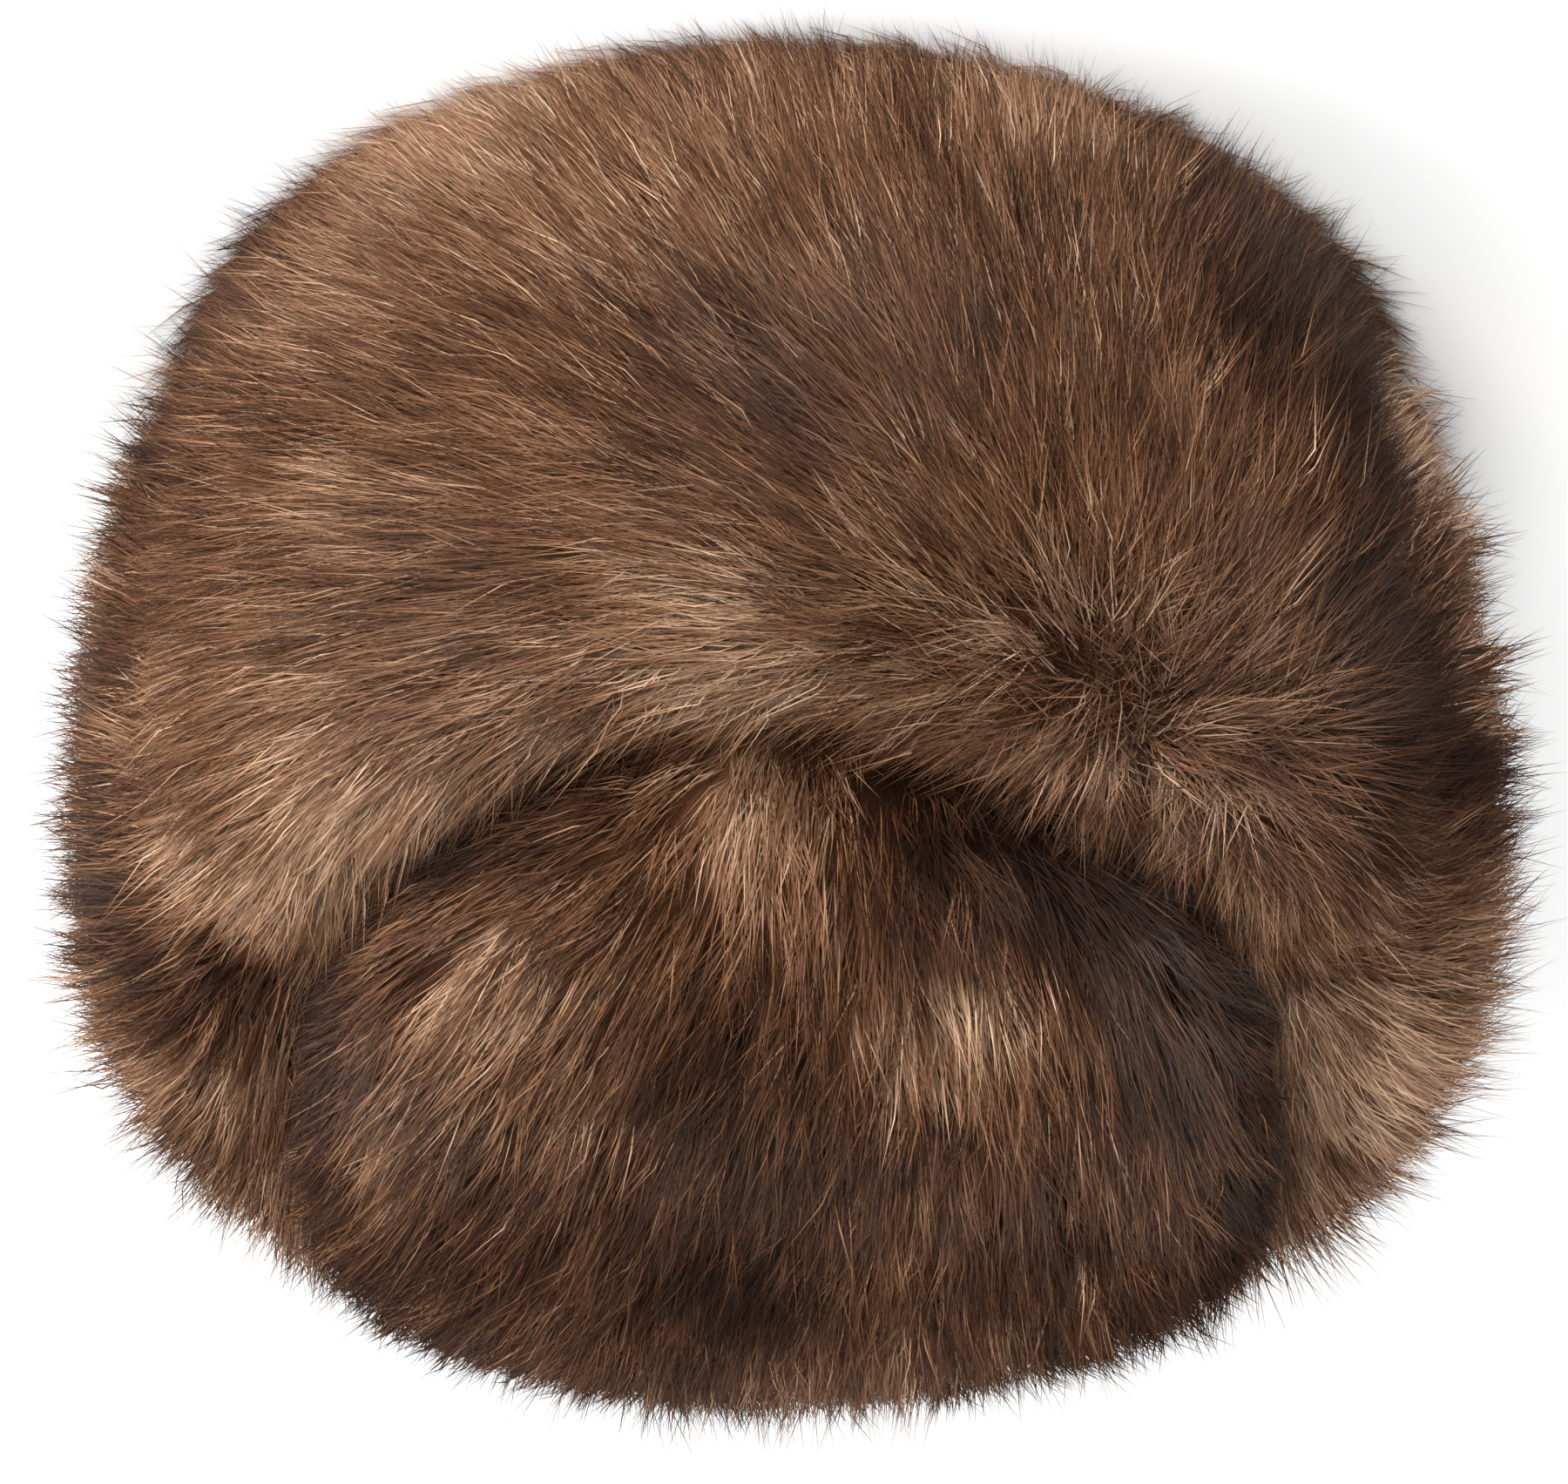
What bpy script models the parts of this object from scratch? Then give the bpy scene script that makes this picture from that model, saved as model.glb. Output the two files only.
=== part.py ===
"""Faux fur hat: a domed crown inside a deep turned-up cuff, both of long-pile fur.

Metres, +Z up. The hat stands on its cuff, the front of the hat faces -Y, and the origin is at the
bottom centre of its box. Azimuth runs round the hat from the front (0) towards +X (90 degrees).
Fur is built as tufts: every second point of a lattice is raised off the backing and leant along
the nap, so that each panel is one closed solid with its locks fused to it.
"""

import math
from collections import namedtuple

import bmesh
import bpy
from mathutils import Vector

# Head opening and crown
HEAD_WIDTH = 0.178
HEAD_LENGTH = 0.190
CROWN_WALL = 0.0025
CROWN_RISE = 0.026
CROWN_TOP_THICKNESS = 0.030
CROWN_PUFF = 0.032
CROWN_LEAN_BACK = 0.012
CROWN_CLEAR_OF_RIM = 0.009
CROWN_SINK = 0.006
MOUTH_LIFT = 0.005

# Cuff
CUFF_HEIGHT = 0.146
CUFF_THICKNESS = 0.039
CUFF_CHAMFER = 0.008
LEFT_SEAM_DEG = -62.0
RIGHT_SEAM_DEG = 60.0
SEAM_CURL_DEG = 14.0
SEAM_GROOVE_WIDTH = 0.010
LEFT_GROOVE_DEPTH = 0.009
RIGHT_GROOVE_DEPTH = 0.004

# Rows of points up the cuff's plain inner face, close enough to keep it round past the curled seams
PLAIN_ROWS = 8

# Gaps between neighbouring pieces
SEAT_GAP = 0.0005
SEAM_GAP = 0.0003

# Fur
TUFT_PITCH = 0.0088
CROWN_TUFT_RISE = 0.008
CUFF_TUFT_RISE = 0.007
TUFT_LEAN = 0.010
TUFT_VARIETY = 0.35
WHORL_AZIMUTH_DEG = 6.0
WHORL_SIZE = 0.03

# Round the hat: the rim's height and the cuff's thickness as shares of the cuff's own sizes, and how
# much of the crown's puff hangs out over the rim there
Around = namedtuple("Around", "azimuth rim thickness puff")
ROUND_THE_HAT = [
    Around(azimuth=0, rim=0.96, thickness=0.94, puff=-0.15),
    Around(azimuth=40, rim=1.01, thickness=0.98, puff=-0.10),
    Around(azimuth=80, rim=1.03, thickness=1.10, puff=0.05),
    Around(azimuth=125, rim=1.00, thickness=1.16, puff=0.62),
    Around(azimuth=180, rim=0.82, thickness=0.92, puff=0.90),
    Around(azimuth=235, rim=1.00, thickness=1.16, puff=0.62),
    Around(azimuth=280, rim=1.03, thickness=1.10, puff=0.05),
    Around(azimuth=320, rim=1.02, thickness=0.98, puff=-0.10),
]

# The cuff's section, from the outer edge of its foot over the rim to its inner face: height is a
# share of the rim's height, out a share of the cuff's thickness, fur a share of a tuft's size
Section = namedtuple("Section", "height out fur")
CUFF_SECTION = [
    Section(height=0.00, out=0.68, fur=0.0),
    Section(height=0.08, out=0.86, fur=0.8),
    Section(height=0.22, out=0.95, fur=1.0),
    Section(height=0.42, out=1.00, fur=1.0),
    Section(height=0.62, out=1.00, fur=1.0),
    Section(height=0.80, out=0.95, fur=1.0),
    Section(height=0.93, out=0.79, fur=0.9),
    Section(height=1.00, out=0.46, fur=0.6),
    Section(height=0.98, out=0.16, fur=0.0),
    Section(height=0.90, out=0.00, fur=0.0),
]

# The crown's outer form: rise is a share of the way from the rim to the top, spread a share of the
# crown's radius in the cuff, puff a share of the puff there, fur a share of a tuft's size
Dome = namedtuple("Dome", "rise spread puff fur")
CROWN_DOME = [
    Dome(rise=0.00, spread=1.00, puff=0.0, fur=0.0),
    Dome(rise=0.24, spread=1.00, puff=0.1, fur=0.6),
    Dome(rise=0.46, spread=1.00, puff=0.9, fur=0.9),
    Dome(rise=0.66, spread=0.92, puff=1.0, fur=1.0),
    Dome(rise=0.86, spread=0.74, puff=0.8, fur=1.0),
    Dome(rise=0.97, spread=0.44, puff=0.4, fur=1.0),
    Dome(rise=1.00, spread=0.00, puff=0.0, fur=1.0),
]

# The head hollow: height is a share of the hollow's height, spread a share of the head opening
Hollow = namedtuple("Hollow", "height spread")
HOLLOW_FORM = [
    Hollow(height=0.00, spread=1.00),
    Hollow(height=0.35, spread=0.99),
    Hollow(height=0.62, spread=0.93),
    Hollow(height=0.83, spread=0.76),
    Hollow(height=0.96, spread=0.42),
    Hollow(height=1.00, spread=0.00),
]

# How the nap of the cuff lies near a place: round is towards +azimuth, up is towards the rim
Nap = namedtuple("Nap", "azimuth height round up")
CUFF_NAP = [
    Nap(azimuth=4, height=0.25, round=0.7, up=-0.7),
    Nap(azimuth=40, height=0.40, round=1.0, up=0.1),
    Nap(azimuth=45, height=0.85, round=0.7, up=0.7),
    Nap(azimuth=10, height=0.75, round=1.0, up=0.0),
    Nap(azimuth=-25, height=0.55, round=-0.3, up=-1.0),
    Nap(azimuth=-50, height=0.40, round=-0.1, up=-1.0),
    Nap(azimuth=-75, height=0.40, round=-1.0, up=0.0),
    Nap(azimuth=80, height=0.50, round=1.0, up=-0.2),
    Nap(azimuth=180, height=0.50, round=1.0, up=-0.6),
]

# Dents in the cuff's fur: level is a share of its height, depth of its thickness, and the reach
# round and up the hat a share of its height
Dent = namedtuple("Dent", "azimuth level reach_round reach_up depth")
CUFF_DENTS = [
    Dent(azimuth=2, level=0.42, reach_round=0.12, reach_up=0.10, depth=0.15),
    Dent(azimuth=27, level=0.66, reach_round=0.05, reach_up=0.13, depth=0.12),
    Dent(azimuth=-66, level=0.86, reach_round=0.14, reach_up=0.11, depth=0.20),
]

# Partings that run front to back over the crown: side is a share of its half width, depth of its
# rise and width of its half width
Parting = namedtuple("Parting", "side width depth")
CROWN_PARTINGS = [
    Parting(side=-0.50, width=0.10, depth=0.24),
    Parting(side=0.42, width=0.16, depth=0.07),
]


def between_rows(rows, position):
    """Catmull-Rom curve through the rows; position counts rows from 0 and may be fractional."""
    last = len(rows) - 1
    start = min(max(int(position), 0), last - 1)
    part = position - start
    neighbours = (rows[min(max(start + step, 0), last)] for step in (-1, 0, 1, 2))
    values = []
    for p0, p1, p2, p3 in zip(*neighbours):
        slope_in = (p2 - p0) / 2
        slope_out = (p3 - p1) / 2
        cubic = 2 * p1 - 2 * p2 + slope_in + slope_out
        square = -3 * p1 + 3 * p2 - 2 * slope_in - slope_out
        values.append(((cubic * part + square) * part + slope_in) * part + p1)
    return type(rows[0])(*values)


def around(azimuth):
    """The ROUND_THE_HAT row at an azimuth in radians, eased between its neighbours."""
    degrees = math.degrees(azimuth) % 360
    rows = ROUND_THE_HAT + [ROUND_THE_HAT[0]._replace(azimuth=360)]
    low, high = next(pair for pair in zip(rows, rows[1:]) if degrees <= pair[1].azimuth)
    part = (degrees - low.azimuth) / (high.azimuth - low.azimuth)
    eased = (1 - math.cos(math.pi * part)) / 2
    return Around(*(a + (b - a) * eased for a, b in zip(low, high)))


def head_radius(azimuth):
    """Radius of the oval head opening."""
    return 1 / math.hypot(2 * math.sin(azimuth) / HEAD_WIDTH, 2 * math.cos(azimuth) / HEAD_LENGTH)


def rim_height(azimuth):
    return CUFF_HEIGHT * around(azimuth).rim


def crown_base(azimuth):
    """Where the crown's fur starts, just inside the cuff's rim."""
    return rim_height(azimuth) - CROWN_SINK


def crown_top():
    return CUFF_HEIGHT + CROWN_RISE


def at(azimuth, radius, height):
    return Vector((radius * math.sin(azimuth), -radius * math.cos(azimuth), height))


def bump(distance, width):
    return math.exp(-((distance / width) ** 2))


def turn_between(a, b):
    """Signed angle from b to a, in radians, the short way round."""
    return (a - b + math.pi) % (2 * math.pi) - math.pi


def variety(column, row):
    """A repeatable size for the tuft at one lattice point, near 1."""
    mixed = math.sin(column * 12.9898 + row * 78.233) * 43758.5453
    return 1 + TUFT_VARIETY * (2 * (mixed - math.floor(mixed)) - 1)


def seam_azimuth(seam_deg, height_share):
    """A side seam runs straight up the cuff, then curls back over the rim."""
    curl = SEAM_CURL_DEG * max(0.0, height_share - 0.7) / 0.3
    return math.radians(seam_deg + math.copysign(curl, seam_deg))


def cuff_hollows(azimuth, height_share, radius):
    """How far the fur is sunk at a place on the cuff by the side seams and the dents."""
    sunk = 0.0
    for seam_deg, depth in ((LEFT_SEAM_DEG, LEFT_GROOVE_DEPTH), (RIGHT_SEAM_DEG, RIGHT_GROOVE_DEPTH)):
        across = radius * turn_between(azimuth, seam_azimuth(seam_deg, height_share))
        sunk += depth * bump(across, SEAM_GROOVE_WIDTH)
    for dent in CUFF_DENTS:
        across = radius * turn_between(azimuth, math.radians(dent.azimuth))
        along = (height_share - dent.level) * CUFF_HEIGHT
        near = bump(across, dent.reach_round * CUFF_HEIGHT) * bump(along, dent.reach_up * CUFF_HEIGHT)
        sunk += dent.depth * CUFF_THICKNESS * near
    return sunk


def cuff_point(azimuth, section):
    """A point of the cuff's backing form at an azimuth, for one row of the section."""
    here = around(azimuth)
    inner = head_radius(azimuth) + CROWN_WALL + SEAT_GAP
    out = section.out * CUFF_THICKNESS * here.thickness
    out -= min(cuff_hollows(azimuth, section.height, inner + out) * section.fur, 0.8 * out)
    return at(azimuth, inner + out, section.height * CUFF_HEIGHT * here.rim)


def cuff_nap(azimuth, height_share):
    """Direction of the nap as (round, up), weighted by nearness to the rows of CUFF_NAP."""
    round_sum = 0.0
    up_sum = 0.0
    for nap in CUFF_NAP:
        across = turn_between(azimuth, math.radians(nap.azimuth))
        apart = across**2 + (height_share - nap.height) ** 2 + 0.01
        round_sum += nap.round / apart**2
        up_sum += nap.up / apart**2
    length = math.hypot(round_sum, up_sum)
    return round_sum / length, up_sum / length


def lattice_faces(mesh, columns):
    """Splits each cell of a lattice so that the raised points stand free of each other as tufts."""
    for column, (left, right) in enumerate(zip(columns, columns[1:])):
        for row in range(len(left) - 1):
            a, b, c, d = left[row], right[row], right[row + 1], left[row + 1]
            raised_corners = (column + row) % 2 == 0
            halves = ((a, b, d), (b, c, d)) if raised_corners else ((a, b, c), (a, c, d))
            for corners in halves:
                mesh.faces.new(corners)


def even_rows(rows, pitch):
    """The cuff's section resampled to rows about one pitch apart along its curve."""
    steps = 20
    fine = [between_rows(rows, k / steps) for k in range(steps * (len(rows) - 1) + 1)]
    places = [Vector((row.height * CUFF_HEIGHT, row.out * CUFF_THICKNESS)) for row in fine]
    lengths = [0.0]
    for here, there in zip(places, places[1:]):
        lengths.append(lengths[-1] + (there - here).length)
    count = max(len(rows), round(lengths[-1] / pitch))
    even = []
    for k in range(count + 1):
        target = lengths[-1] * k / count
        nearest = min(range(len(fine)), key=lambda n: abs(lengths[n] - target))
        row = fine[nearest]
        even.append(row._replace(fur=min(max(row.fur, 0.0), 1.0), out=max(row.out, 0.0)))
    return even


def cuff_tuft(azimuth, section, above, column, row, to_seam):
    """The tip of a tuft that leans along the nap, less so near a seam and on the rim."""
    here = cuff_point(azimuth, section)
    around_step = (cuff_point(azimuth + 1e-3, section) - here).normalized()
    up_step = (cuff_point(azimuth, above) - here).normalized()
    normal = around_step.cross(up_step).normalized()
    round_part, up_part = cuff_nap(azimuth, section.height)
    nap = around_step * round_part + up_step * up_part
    size = variety(column, row) * section.fur
    lean = min(TUFT_LEAN * size * section.fur, to_seam / 2)
    tip = here + normal * CUFF_TUFT_RISE * size + nap * lean
    tip.z = max(tip.z, TUFT_PITCH / 5)
    return tip


def cuff_column(start_deg, end_deg, share, sections, column, is_end):
    """One column of points round a panel's section, with every second point raised into a tuft."""
    points = []
    for row, section in enumerate(sections):
        start = seam_azimuth(start_deg, section.height)
        whole_turns = 2 * math.pi if end_deg > 180 else 0.0
        end = seam_azimuth(end_deg - math.degrees(whole_turns), section.height) + whole_turns
        azimuth = start + (end - start) * share
        if is_end or section.fur == 0 or (column + row) % 2:
            points.append(cuff_point(azimuth, section))
            continue
        to_seam = HEAD_WIDTH / 2 * min(azimuth - start, end - azimuth)
        points.append(cuff_tuft(azimuth, section, sections[row + 1], column, row, to_seam))
    return points


def close_end(mesh, outer, inner, heights):
    """Closes a panel's seam end with a ladder of triangles between its outer and inner sides."""
    i = 0
    j = 0
    while i < len(outer) - 1 or j < len(inner) - 1:
        inner_done = j == len(inner) - 1
        outer_done = i == len(outer) - 1
        if inner_done or (not outer_done and heights[outer[i + 1]] <= heights[inner[j + 1]]):
            mesh.faces.new((outer[i], outer[i + 1], inner[j]))
            i += 1
        else:
            mesh.faces.new((outer[i], inner[j + 1], inner[j]))
            j += 1


def cuff_panel(name, start_deg, end_deg, material):
    """One panel of the turned-up cuff, from seam to seam: fur outside, plain inside and below."""
    fur_rows = even_rows(CUFF_SECTION, TUFT_PITCH)
    top = fur_rows[-1].height
    shares = [1 - k / PLAIN_ROWS for k in range(1, PLAIN_ROWS)]
    plain_rows = [Section(height=top * share, out=0.0, fur=0.0) for share in shares]
    plain_rows.append(Section(height=MOUTH_LIFT / CUFF_HEIGHT, out=0.0, fur=0.0))
    foot_row = Section(height=0.0, out=CUFF_CHAMFER / CUFF_THICKNESS, fur=0.0)
    sections = fur_rows + plain_rows + [foot_row]
    half_gap_deg = math.degrees(SEAM_GAP / HEAD_WIDTH)
    start_deg += half_gap_deg
    end_deg -= half_gap_deg
    outer_radius = (HEAD_WIDTH + HEAD_LENGTH) / 4 + CUFF_THICKNESS
    count = round(math.radians(end_deg - start_deg) * outer_radius / TUFT_PITCH)
    mesh = bmesh.new()
    columns = []
    for number in range(count + 1):
        is_end = number in (0, count)
        places = cuff_column(start_deg, end_deg, number / count, sections, number, is_end)
        columns.append([mesh.verts.new(place) for place in places])
    lattice_faces(mesh, [column + column[:1] for column in columns])
    for column in (columns[0], columns[-1]):
        heights = {vertex: section.height for vertex, section in zip(column, sections)}
        outer = column[: len(fur_rows)]
        inner = column[: len(fur_rows) - 1 : -1]
        close_end(mesh, outer, inner, heights)
    return finish(name, mesh, material)


def on_disc(a, b):
    """Maps a square lattice from -1 to 1 onto a disc, as (azimuth, share of the radius)."""
    if a == 0 and b == 0:
        return 0.0, 0.0
    if abs(a) > abs(b):
        return math.pi / 4 * (b / a) + (math.pi if a < 0 else 0), abs(a)
    return math.pi / 2 - math.pi / 4 * (a / b) + (math.pi if b < 0 else 0), abs(b)


def dome_row(share):
    """The row of the crown's form by share of the way from the top (0) to the rim (1)."""
    row = between_rows(CROWN_DOME, (1 - share) * (len(CROWN_DOME) - 1))
    return row._replace(rise=min(row.rise, 1.0), spread=max(row.spread, 0.0), fur=max(row.fur, 0.0))


def crown_point(azimuth, share):
    """A point of the crown's outer backing form, with its partings."""
    row = dome_row(share)
    base = crown_base(azimuth)
    radius = (head_radius(azimuth) + CROWN_WALL) * row.spread
    radius += CROWN_PUFF * around(azimuth).puff * row.puff
    point = at(azimuth, radius, base + (crown_top() - base) * row.rise)
    point.y += CROWN_LEAN_BACK * row.rise * row.spread
    for parting in CROWN_PARTINGS:
        away = point.x - parting.side * HEAD_WIDTH / 2
        point.z -= parting.depth * CROWN_RISE * bump(away, parting.width * HEAD_WIDTH / 2) * row.rise
    return point


def crown_tuft(a, b, column, row, whorl):
    """A lattice point of the crown's fur; every second one is raised into the tip of a tuft."""
    azimuth, share = on_disc(a, b)
    here = crown_point(azimuth, share)
    fur = dome_row(share).fur
    if (column + row) % 2 or share == 1:
        return here
    nudge = 1e-3
    across = crown_point(*on_disc(a + nudge, b)) - here
    along = crown_point(*on_disc(a, b + nudge)) - here
    normal = across.cross(along).normalized()
    if normal.dot(here - Vector((0, 0, CUFF_HEIGHT / 2))) < 0:
        normal = -normal
    away = here - whorl
    nap = (away - normal * away.dot(normal)).normalized()
    size = variety(column, row) * fur
    lean = TUFT_LEAN * size * min(1.0, away.length / WHORL_SIZE)
    tip = here + normal * CROWN_TUFT_RISE * size + nap * lean
    tip.z = max(tip.z, here.z, rim_height(azimuth) + CROWN_CLEAR_OF_RIM * min(1.0, fur))
    return tip


def hollow_point(azimuth, share):
    """A point of the head hollow; share runs from its top (0) to its mouth (1)."""
    row = between_rows(HOLLOW_FORM, (1 - share) * (len(HOLLOW_FORM) - 1))
    height = crown_top() - CROWN_TOP_THICKNESS - MOUTH_LIFT
    radius = head_radius(azimuth) * max(row.spread, 0.0)
    return at(azimuth, radius, MOUTH_LIFT + height * min(max(row.height, 0.0), 1.0))


def lattice_ring(count):
    """The boundary points of a square lattice, in order round it."""
    ring = [(k, 0) for k in range(count)]
    ring += [(count, k) for k in range(count)]
    ring += [(count - k, count) for k in range(count)]
    return ring + [(0, count - k) for k in range(count)]


def crown(material):
    """The crown: a fur dome above the cuff, a plain wall inside it, and the open head hollow."""
    arc = HEAD_LENGTH / 2 + CROWN_RISE
    count = 2 * round(arc / TUFT_PITCH)
    mesh = bmesh.new()
    whorl = crown_point(math.radians(WHORL_AZIMUTH_DEG), 1 - WHORL_SIZE / arc)
    spots = [2 * k / count - 1 for k in range(count + 1)]
    outer = []
    inner = []
    for i, a in enumerate(spots):
        outer.append([mesh.verts.new(crown_tuft(a, b, i, j, whorl)) for j, b in enumerate(spots)])
        inner.append([mesh.verts.new(hollow_point(*on_disc(a, b))) for b in spots])
    lattice_faces(mesh, outer)
    lattice_faces(mesh, inner)
    ring = lattice_ring(count)
    levels = [[outer[i][j] for i, j in ring]]
    for share in (0.6, 0.3, 0.0):
        level = []
        for i, j in ring:
            azimuth = on_disc(spots[i], spots[j])[0]
            height = MOUTH_LIFT + (crown_base(azimuth) - MOUTH_LIFT) * share
            level.append(mesh.verts.new(at(azimuth, head_radius(azimuth) + CROWN_WALL, height)))
        levels.append(level)
    levels.append([inner[i][j] for i, j in ring])
    lattice_faces(mesh, [level + level[:1] for level in levels])
    return finish("crown", mesh, material)


def fur_material(name, color):
    """A soft, dull finish in the fur's own colour."""
    material = bpy.data.materials.new(name)
    material.use_nodes = True
    shader = material.node_tree.nodes["Principled BSDF"]
    shader.inputs["Base Color"].default_value = (*color, 1.0)
    shader.inputs["Roughness"].default_value = 0.85
    shader.inputs["Metallic"].default_value = 0.0
    return material


def finish(name, mesh, material):
    """Turns a closed bmesh into a named object with its faces pointing out."""
    bmesh.ops.recalc_face_normals(mesh, faces=mesh.faces)
    data = bpy.data.meshes.new(name)
    mesh.to_mesh(data)
    mesh.free()
    data.materials.append(material)
    piece = bpy.data.objects.new(name, data)
    bpy.context.scene.collection.objects.link(piece)
    return piece


def centre(pieces):
    """Moves the whole hat so that the origin is at the bottom centre of its box."""
    corners = [vertex.co for piece in pieces for vertex in piece.data.vertices]
    for axis in (0, 1):
        low = min(corner[axis] for corner in corners)
        high = max(corner[axis] for corner in corners)
        for piece in pieces:
            piece.location[axis] = -(low + high) / 2


def main():
    for leftover in list(bpy.data.objects):
        bpy.data.objects.remove(leftover, do_unlink=True)
    dark_fur = fur_material("crown_fur", (0.15, 0.09, 0.06))
    tan_fur = fur_material("cuff_front_fur", (0.25, 0.15, 0.09))
    pale_fur = fur_material("cuff_back_fur", (0.27, 0.17, 0.11))
    pieces = [
        crown(dark_fur),
        cuff_panel("cuff_front", LEFT_SEAM_DEG, RIGHT_SEAM_DEG, tan_fur),
        cuff_panel("cuff_back", RIGHT_SEAM_DEG, LEFT_SEAM_DEG + 360, pale_fur),
    ]
    centre(pieces)


main()
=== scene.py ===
import math
from collections import namedtuple

import bmesh
import bpy
import numpy as np
from mathutils import Matrix, Vector


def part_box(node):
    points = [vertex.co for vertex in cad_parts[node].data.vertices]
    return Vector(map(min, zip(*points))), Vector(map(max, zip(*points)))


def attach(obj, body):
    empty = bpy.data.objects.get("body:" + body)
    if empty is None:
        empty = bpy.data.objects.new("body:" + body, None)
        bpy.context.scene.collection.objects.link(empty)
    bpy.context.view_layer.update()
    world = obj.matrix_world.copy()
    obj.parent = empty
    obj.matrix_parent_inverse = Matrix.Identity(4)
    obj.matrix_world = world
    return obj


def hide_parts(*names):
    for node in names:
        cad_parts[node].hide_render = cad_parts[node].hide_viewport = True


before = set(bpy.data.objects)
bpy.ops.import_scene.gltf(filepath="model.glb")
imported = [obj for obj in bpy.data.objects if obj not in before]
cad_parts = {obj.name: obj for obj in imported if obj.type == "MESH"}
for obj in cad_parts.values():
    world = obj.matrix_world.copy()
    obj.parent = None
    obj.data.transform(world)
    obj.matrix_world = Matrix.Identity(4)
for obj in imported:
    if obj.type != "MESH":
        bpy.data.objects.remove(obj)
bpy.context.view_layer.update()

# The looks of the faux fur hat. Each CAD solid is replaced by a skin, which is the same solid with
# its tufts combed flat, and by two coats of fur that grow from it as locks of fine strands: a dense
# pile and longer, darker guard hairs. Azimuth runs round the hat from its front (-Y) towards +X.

# Sizes taken from the CAD nodes
CROWN_LOW, CROWN_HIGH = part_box("crown")
CUFF_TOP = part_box("cuff_front")[1].z
MOUTH = [v.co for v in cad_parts["crown"].data.vertices if v.co.z < CROWN_LOW.z + 1e-4]
MOUTH_HALF_WIDTH = max(abs(point.x) for point in MOUTH)
MOUTH_HALF_LENGTH = max(abs(point.y) for point in MOUTH)
CROWN_FUR_FROM = 0.72 * CUFF_TOP
CUFF_SEAT = 0.0020

# The cuff's rim: from this share of its height its fur is painted lighter, a painted highlight on the
# rim's roll, and from this far out from the crown's wall inwards it is short, stands up and is
# painted lighter still. The crown's fur is shorter at its edge and painted darker there, a painted
# shade under the rim
RIM_LEVELS = (0.86, 0.98)
# painted highlight along the top of the cuff's rim
RIM_PAINTED_HIGHLIGHT = 0.18
FRINGE_OUT = (0.022, 0.010)
# painted highlight on the short fringe at the rim's inner edge
FRINGE_PAINTED_HIGHLIGHT = 0.14
FRINGE_SHORT = 0.35
FRINGE_LIFT = 0.50
CROWN_EDGE = (0.80, 0.97)
# painted shade on the crown's fur where the cuff's rim overhangs it
CROWN_EDGE_PAINTED_SHADE = -0.24
CROWN_EDGE_SHORT = 0.40

# Camera: the photo is taken with the hat's front towards the camera and the picture upside down
PHOTO_WIDTH = 1800
PIXELS_PER_METRE = 5757
CAMERA_ELEVATION = 36.0
CAMERA_DISTANCE = 1.2
CAMERA_ROLL = 180.0
CAMERA_AIM = Vector((0.0009, 0.0, 0.0695))

# Fur this dark passes on little light after its second bounce
FUR_BOUNCES = 2

# Fur: one row for each coat of each piece. spread is the radius of a lock at its roots, gather how
# far it closes up by its tip, lift and lay the angles of a strand to the skin at root and tip
Coat = namedtuple("Coat", "node kind strands per_lock length width spread gather lift lay tone")
COATS = [
    Coat("crown", "pile", 95000, 26, 0.024, 0.00029, 0.0040, 0.35, 34, 11, 0.52),
    Coat("crown", "guard", 60000, 10, 0.031, 0.00023, 0.0034, 0.60, 36, 14, 0.34),
    Coat("cuff_front", "pile", 98000, 26, 0.025, 0.00029, 0.0040, 0.35, 34, 8, 0.67),
    Coat("cuff_front", "guard", 74000, 10, 0.032, 0.00023, 0.0034, 0.60, 36, 11, 0.47),
    Coat("cuff_back", "pile", 92000, 26, 0.025, 0.00033, 0.0044, 0.35, 34, 10, 0.66),
    Coat("cuff_back", "guard", 66000, 10, 0.032, 0.00025, 0.0038, 0.60, 36, 13, 0.46),
]
ROOT_DEPTH = 0.0020
FUR_DEPTH = 0.0048
COMB_SCATTER = 0.13
RUFFLE_SCATTER = 1.6
RUFFLE_LIFT = 0.9
STRAY_SHARE = {"pile": 0.05, "guard": 0.20}
STRAY_LIFT = 0.44
STRAY_LENGTH = 0.80
LOCK_TONE = {"pile": 0.10, "guard": 0.22}
STRAND_TONE = 0.13
COMB_BLEND = 0.006
UNDERFUR_TONE = 0.30

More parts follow.
